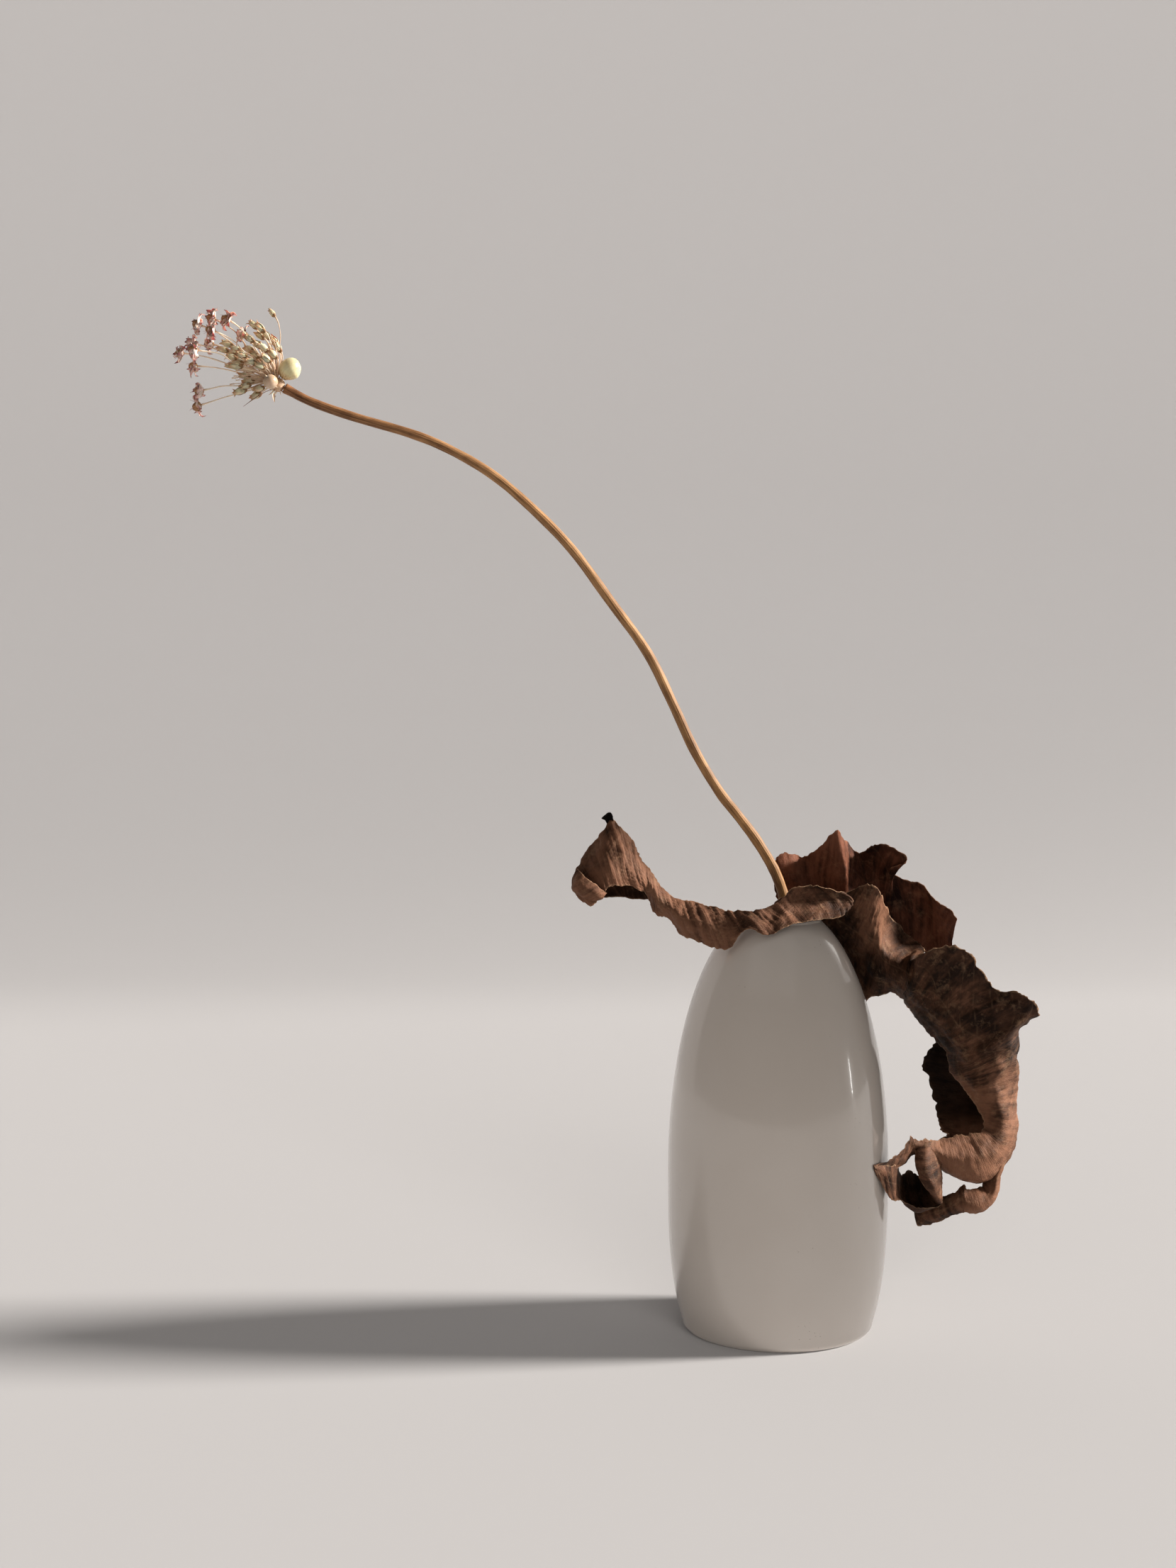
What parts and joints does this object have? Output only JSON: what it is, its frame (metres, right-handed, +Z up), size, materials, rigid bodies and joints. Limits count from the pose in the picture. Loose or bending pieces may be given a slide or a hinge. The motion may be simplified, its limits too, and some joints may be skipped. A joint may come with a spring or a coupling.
{
  "type": "dried flowers in a vase",
  "caption": "White glazed bottle vase holding an arching dried garlic flower on a long stem and crumpled brown leaves.",
  "frame": {"origin": "middle of the vase's flat base, on the vase's axis", "axes": "+Z up; +X the side the right-hand leaf hangs on, with the flower arching over -X; +Y the back"},
  "size_m": [0.4244, 0.1088, 0.5021],
  "materials": {
    "white_glaze": "smooth glossy white glaze",
    "dry_stem": "dry straw-coloured stalk, finely ribbed lengthwise, browner towards the head",
    "dry_leaf_dark": "dry crumpled leaf, matt dark brown, wrinkled and veined",
    "dry_leaf_red": "dry crumpled leaf, matt reddish brown, wrinkled and veined",
    "dry_petal_pink": "withered mauve-pink petals on thin cream stalks, matt",
    "dry_petal_beige": "withered beige petals on thin cream stalks, matt",
    "dry_bract": "thin dry sheath, papery, matt",
    "bulbil_skin": "waxy translucent cream skin, soft sheen"
  },
  "bodies": {
    "root": {"vase": "white_glaze", "leaf_left": "dry_leaf_dark", "leaf_right": "dry_leaf_dark", "leaf_back": "dry_leaf_red", "allium_stem": "dry_stem", "umbel_base": "dry_stem", "bulbil_large": "bulbil_skin", "bulbil_small": "bulbil_skin", "bract_01": "dry_bract", "bract_02": "dry_bract", "flower_01": "dry_petal_pink", "flower_02": "dry_petal_pink", "flower_03": "dry_petal_pink", "flower_04": "dry_petal_pink", "flower_05": "dry_petal_pink", "flower_06": "dry_petal_pink", "flower_07": "dry_petal_pink", "flower_08": "dry_petal_pink", "flower_09": "dry_petal_pink", "flower_10": "dry_petal_pink", "flower_11": "dry_petal_pink", "flower_12": "dry_petal_pink", "dry_bud_01": "dry_petal_beige", "dry_bud_02": "dry_petal_beige", "dry_bud_03": "dry_petal_beige", "dry_bud_04": "dry_petal_beige", "dry_bud_05": "dry_petal_beige", "dry_bud_06": "dry_petal_beige", "dry_bud_07": "dry_petal_beige", "dry_bud_08": "dry_petal_beige", "dry_bud_09": "dry_petal_beige", "dry_bud_10": "dry_petal_beige"}
  },
  "joints": []
}
